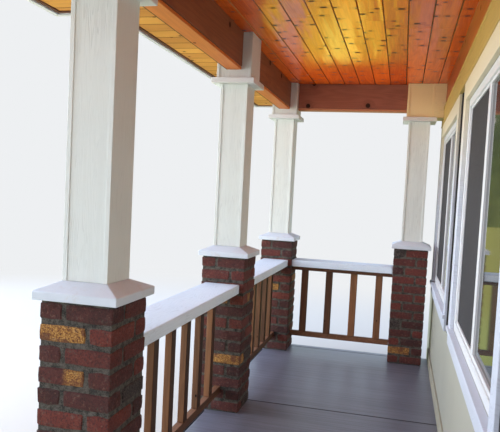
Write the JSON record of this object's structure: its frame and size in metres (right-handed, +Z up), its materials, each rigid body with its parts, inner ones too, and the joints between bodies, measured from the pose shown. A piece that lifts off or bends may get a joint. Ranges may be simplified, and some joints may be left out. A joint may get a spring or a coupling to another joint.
{
  "type": "front porch",
  "caption": "Front porch: brick piers with white boxed columns, wood railing, boarded ceiling under a low hipped roof, and a strip of house wall with sliding windows.",
  "frame": {"origin": "underside of the floor slab, on the line of the front piers' inner faces, at the middle of the porch's length", "axes": "+Z up, +Y along the porch from the open entry bay to the far corner, +X from the garden to the house wall"},
  "size_m": [2.456, 7.404, 3.2333],
  "materials": {
    "brick": "rough tumbled brick with recessed mortar",
    "concrete": "sealed broom-finished concrete",
    "white_paint": "white painted boards with embossed woodgrain",
    "cap_stone": "painted cast stone, weathered",
    "dark_stain": "dark stained boards with knots",
    "rail_wood": "weathered brown stain",
    "pine_boards": "varnished tongue-and-groove pine",
    "wall_siding": "beige painted panel",
    "band_paint": "pale olive paint",
    "window_white": "white vinyl",
    "window_glass": "clear glass over a dark room",
    "gutter_metal": "white coil-coated sheet",
    "roof_board": "bare sheathing",
    "shingle": "mineral granules"
  },
  "bodies": {
    "root": {"porch_slab": "concrete", "pier_entry_near": "brick", "pier_entry_far": "brick", "pier_middle": "brick", "pier_far_corner": "brick", "pier_wall_near": "brick", "pier_wall_far": "brick", "pier_caps": "cap_stone", "front_columns": "white_paint", "wall_columns": "white_paint", "column_capitals": "white_paint", "head_blocks": "white_paint", "wall_head_boxes": "white_paint", "entry_beam": "dark_stain", "middle_beam": "dark_stain", "far_beam": "dark_stain", "near_end_beam": "dark_stain", "far_end_beam": "dark_stain", "rail_caps": "white_paint", "subrails": "dark_stain", "bottom_rails": "rail_wood", "balusters_middle_bay": "rail_wood", "balusters_far_bay": "rail_wood", "balusters_near_end": "rail_wood", "balusters_far_end": "rail_wood", "ceiling": "pine_boards", "wall_frieze": "pine_boards", "wall_head_band": "band_paint", "front_soffit": "pine_boards", "entry_soffit": "pine_boards", "end_soffits": "pine_boards", "soffit_edge_trim": "dark_stain", "fascia": "white_paint", "gutters": "gutter_metal", "roof_deck": "roof_board", "roof_shingles": "shingle", "wall_below_windows": "wall_siding", "wall_above_windows": "wall_siding", "wall_end_panels": "wall_siding", "wall_window_posts": "wall_siding", "wall_base_trim": "wall_siding", "window_casings": "window_white", "window_frames": "window_white", "window_sashes": "window_white", "window_glass": "window_glass"}
  },
  "joints": []
}
